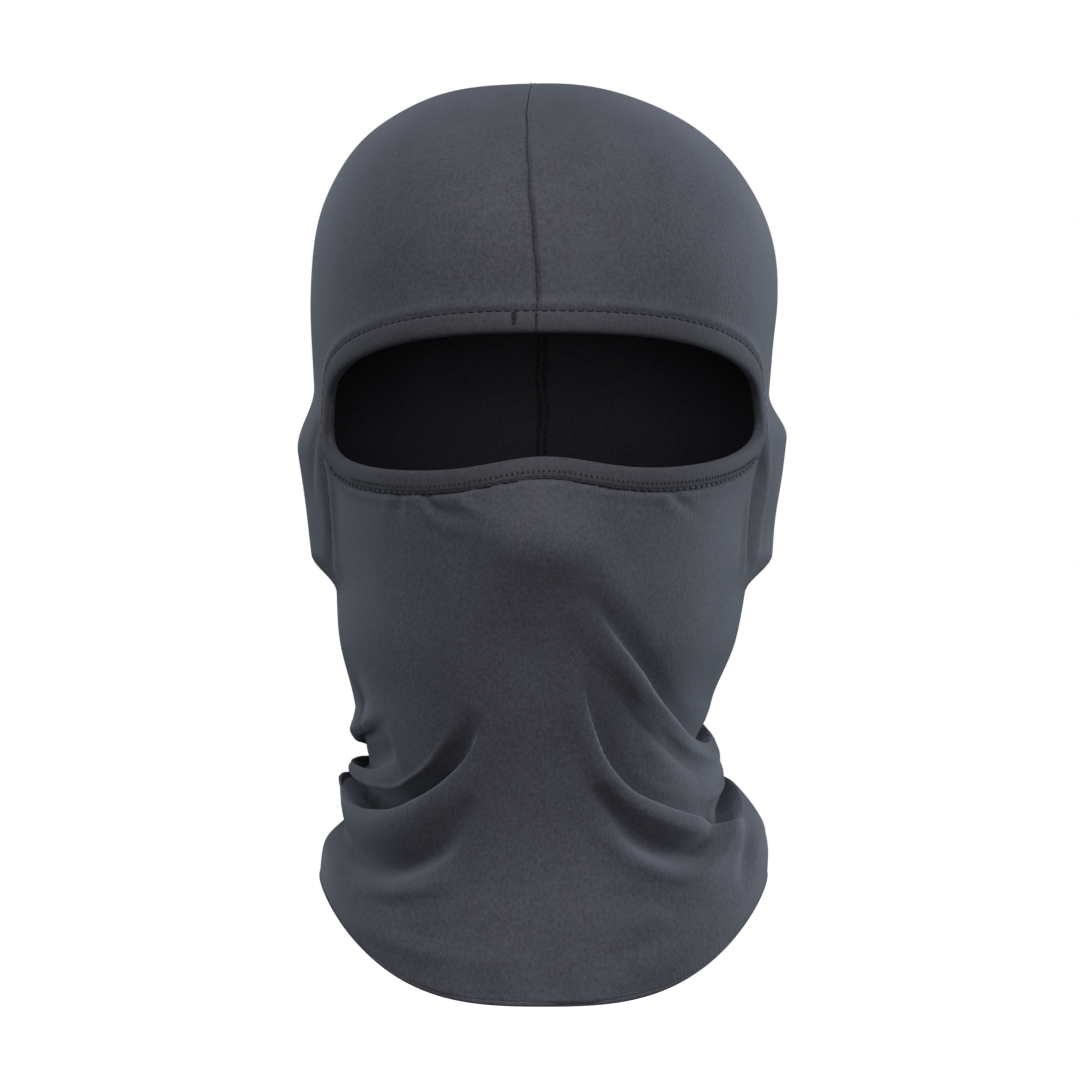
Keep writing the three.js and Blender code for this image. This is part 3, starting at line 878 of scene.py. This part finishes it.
def bar_of_stitches(name, x, start, end, width):
    """A bar of stitches across the binding above the opening, between two distances from its edge."""
    top = OPENING["middle"] + OPENING["up"]
    theta, level = on_face(np.array([x]), np.array([top]))
    place, outward, _, up = (a[0] for a in frame_at(theta, level))
    aside = unit(np.cross(up, outward))
    steps = np.arange(start, end, BAR_PITCH)
    middle = place + up * steps[:, None] + outward * BAR_SEAT
    half = aside * width / 2
    outward = np.tile(outward, (len(steps), 1))
    return capsules(middle - half, middle + half, outward, BAR_RADIUS, name, dark_thread)


# ---------------------------------------------------------------- the centre seam

NEAR_CROWN = -0.995  # the level where the line goes over the crown
NEAR_HEM = 0.999


def seam_line(spacing):
    """Frames from the binding over the crown to the hem: places, outward, aside, ahead."""
    binding_top = OPENING["middle"] + OPENING["up"] + BINDING_WIDTH
    _, first = on_face(np.array([0.0]), np.array([binding_top]))
    front = np.linspace(first[0], NEAR_CROWN, 400)
    back = np.linspace(NEAR_CROWN, NEAR_HEM, 1200)
    theta = np.concatenate([seam_shift(front), np.full(len(back), math.pi)])
    level = np.concatenate([front, back])
    places, outward, _, _ = frame_at(theta, level)
    length = running_length(places)
    count = int(length[-1] / spacing)
    read = np.interp(np.arange(count) * spacing, length, np.arange(len(length)))
    places = catmull_rom(places, read)
    ahead = unit(np.gradient(places, axis=0))
    outward = unit(catmull_rom(outward, read))
    aside = unit(np.cross(ahead, outward))
    return places, outward, aside, ahead


SEAM_PITCH = 2.3
SEAM_STITCH_HALF = 1.0  # half a stitch's length
SEAM_STITCH_SINK = 0.75  # how deep the stitches lie in the groove
SEAM_RADIUS = 0.28


def seam_thread():
    places, outward, _, ahead = seam_line(SEAM_PITCH)
    middle = places - outward * SEAM_STITCH_SINK
    reach = ahead * SEAM_STITCH_HALF
    return capsules(
        middle - reach, middle + reach, outward, SEAM_RADIUS, "centre_seam_stitches", dark_thread
    )


ALLOWANCE_STEP = 1.5  # spacing of the frames along it
ALLOWANCE_DEPTH = 5.4  # how far the raw edges stand in
ALLOWANCE_SHAPE = [(-0.8, -0.9), (-0.95, -3.0), (-0.8, -5.4), (0.8, -5.4), (0.95, -3.0), (0.8, -0.9)]


def seam_allowance():
    """The two raw edges, side by side, standing in along the seam and leaning a little."""
    places, outward, aside, _ = seam_line(ALLOWANCE_STEP)
    steps = np.arange(len(places))
    lean = (0.9 * np.sin(steps * 0.21) + 0.5 * np.sin(steps * 0.47 + 1))[:, None]
    shape = np.array(ALLOWANCE_SHAPE)
    sides = len(shape)
    reach = (-shape[:, 1] / ALLOWANCE_DEPTH) ** 2
    profile = np.broadcast_to(shape, (len(places), sides, 2)).copy()
    profile[..., 0] += lean * reach
    points, faces = sweep(places, outward, aside, profile, closed=False)
    piece = make_mesh("centre_seam_allowance", points, [f[::-1] for f in faces], [knit_inside])
    along = np.repeat(steps * ALLOWANCE_STEP, sides)
    around = np.tile(np.arange(sides) * 2.2, len(places))
    add_uv(piece, np.stack([along, around], axis=1))
    return piece, lean[:, 0]


OVERLOCK_PITCH = 2.6
OVERLOCK_RADIUS = 0.22
OVERLOCK_REACH = (1.45, 1.6)  # how far a loop goes aside and in
OVERLOCK_DEPTH = 4.2  # of the loops' middle
TURN_POINTS = 10
THREAD_SIDES = 6


def overlock(lean):
    """A thread wound round the inner end of the allowance."""
    places, outward, aside, _ = seam_line(ALLOWANCE_STEP)
    turns_per_step = ALLOWANCE_STEP / OVERLOCK_PITCH
    count = int((len(places) - 1) * turns_per_step * TURN_POINTS)
    read = np.linspace(0, len(places) - 1, count)
    angle = np.arange(count) * 2 * math.pi / TURN_POINTS
    leaning = np.interp(read, np.arange(len(lean)), lean) * 0.85
    across = OVERLOCK_REACH[0] * np.cos(angle) + leaning
    inward = OVERLOCK_DEPTH + OVERLOCK_REACH[1] * np.sin(angle)
    path = catmull_rom(places, read) + catmull_rom(aside, read) * across[:, None]
    path = path - catmull_rom(outward, read) * inward[:, None]
    ahead = unit(np.gradient(path, axis=0))
    side = unit(np.cross(ahead, [1.0, 0.3, 0.2]))
    other = np.cross(ahead, side)
    turns = np.arange(THREAD_SIDES) * 2 * math.pi / THREAD_SIDES
    section_points = OVERLOCK_RADIUS * np.stack([np.cos(turns), np.sin(turns)], axis=1)
    points, faces = sweep(path, other, side, section_points, closed=False)
    return make_mesh("seam_overlock", points, faces, [grey_thread])


HEM_SIDES = 12
HEM_HALF = (0.9, 0.5)  # half its height and half its thickness


def hem(grid):
    """The fine rolled edge at the neck, along the last row of the hood."""
    edge = grid[-1]
    up = unit(grid[-2] - grid[-1])
    ahead = unit(np.roll(edge, -1, axis=0) - np.roll(edge, 1, axis=0))
    outward = unit(np.cross(ahead, up))
    turns = np.arange(HEM_SIDES) * 2 * math.pi / HEM_SIDES
    profile = np.stack([HEM_HALF[0] * np.cos(turns), HEM_HALF[1] * np.sin(turns) - CLOTH / 2], axis=1)
    points, faces = sweep(edge + up * 0.1, outward, up, profile, closed=True)
    piece = make_mesh("neck_hem", points, [f[::-1] for f in faces], [knit])
    along = np.repeat(np.arange(len(edge)) * 1.2, HEM_SIDES)
    around = np.tile(np.arange(HEM_SIDES) * 0.45, len(edge))
    add_uv(piece, np.stack([along, around], axis=1))
    return piece


# ---------------------------------------------------------------- making the pieces

hood, hood_grid = hood_body()
binding = face_binding()
stitches = coverstitch()
join_bar = bar_of_stitches("binding_join", -2.7, 0.6, 6.8, 0.9)
tack_bar = bar_of_stitches("binding_tack", -10.0, 3.0, 6.6, 1.7)
seam = seam_thread()
allowance, allowance_lean = seam_allowance()
loops = overlock(allowance_lean)
neck_hem = hem(hood_grid)

for piece, node, slot in [
    (hood, "hood_body", "knit"),
    (binding, "face_binding", "binding_knit"),
    (stitches, "binding_coverstitch", "thread"),
    (join_bar, "binding_join_seam", "thread"),
    (tack_bar, "binding_backtack", "thread"),
    (seam, "centre_seam_thread", "thread"),
    (allowance, "seam_allowance", "knit_inside"),
    (loops, "seam_overlock_thread", "thread"),
    (neck_hem, "neck_hem_roll", "knit"),
]:
    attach(piece, BODY)
    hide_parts(node)


# ---------------------------------------------------------------- the studio

middle_height = (cad_low.z + cad_high.z) / 2
FLOOR_HALF = 9
FLOOR_DROP = 0.12  # from the hem down to the floor

floor_mesh = bpy.data.meshes.new("floor")
corners = [(x * FLOOR_HALF, y * FLOOR_HALF, 0) for x, y in ((-1, -1), (1, -1), (1, 1), (-1, 1))]
floor_mesh.from_pydata(corners, [], [(0, 1, 2, 3)])
floor = bpy.data.objects.new("floor", floor_mesh)
floor.location.z = cad_low.z - FLOOR_DROP
bpy.context.scene.collection.objects.link(floor)
pale = bpy.data.materials.new("pale_floor")
pale.use_nodes = True
paint = pale.node_tree.nodes["Principled BSDF"].inputs
paint["Base Color"].default_value = (0.6, 0.6, 0.6, 1)
paint["Roughness"].default_value = 0.9
paint["Emission Color"].default_value = (1, 1, 1, 1)
paint["Emission Strength"].default_value = 1.0
floor_mesh.materials.append(pale)
floor.visible_diffuse = False
floor.visible_glossy = False


def soft_light(name, place, size, watts, color):
    """A rectangular softbox aimed at the hood."""
    light = bpy.data.lights.new(name, "AREA")
    light.shape = "RECTANGLE"
    light.size, light.size_y = size
    light.energy = watts
    light.color = color
    lamp = bpy.data.objects.new(name, light)
    lamp.location = Vector(place) + Vector((0, 0, middle_height))
    target = Vector((0, 0, middle_height))
    lamp.rotation_euler = (target - lamp.location).to_track_quat("-Z", "Y").to_euler()
    bpy.context.scene.collection.objects.link(lamp)


COOL = (0.86, 0.94, 1.0)
WHITE = (1.0, 1.0, 1.0)
soft_light("left_rim", (-1.5, 0.8, -0.05), (0.8, 1.2), 9, COOL)
soft_light("right_rim", (1.5, 0.8, -0.05), (0.8, 1.2), 20, COOL)
soft_light("right_side", (1.8, 0.1, 0.2), (0.8, 1.4), 2, COOL)
soft_light("left_high", (-1.2, -1.2, 1.3), (0.8, 0.8), 3, WHITE)
soft_light("right_high", (1.2, -1.2, 1.3), (0.8, 0.8), 7, WHITE)
soft_light("front_high", (0.0, -1.5, 1.6), (1.2, 0.8), 30, WHITE)
soft_light("front", (0.0, -2.4, 0.2), (1.2, 0.8), 15, WHITE)
soft_light("top_light", (0.0, 0.2, 1.8), (1.2, 1.2), 3, WHITE)

world = bpy.data.worlds.new("studio")
world.use_nodes = True
bpy.context.scene.world = world
background = world.node_tree.nodes["Background"]
background.inputs["Color"].default_value = (1, 1, 1, 1)
background.inputs["Strength"].default_value = 1.0
world.cycles_visibility.diffuse = False
world.cycles_visibility.glossy = False

bpy.context.scene.view_settings.view_transform = "Standard"

CAMERA_DISTANCE = 2.2
CAMERA_HEIGHT = -0.158
CAMERA_ASIDE = -0.0014
FRAME_HEIGHT = 0.3726  # what the square frame takes in at the hood's own distance
camera_data = bpy.data.cameras.new("camera")
camera_data.lens = camera_data.sensor_width * CAMERA_DISTANCE / FRAME_HEIGHT
camera = bpy.data.objects.new("camera", camera_data)
camera.location = (CAMERA_ASIDE, -CAMERA_DISTANCE, CAMERA_HEIGHT)
camera.rotation_euler = (math.pi / 2, 0, 0)
bpy.context.scene.collection.objects.link(camera)
bpy.context.scene.camera = camera
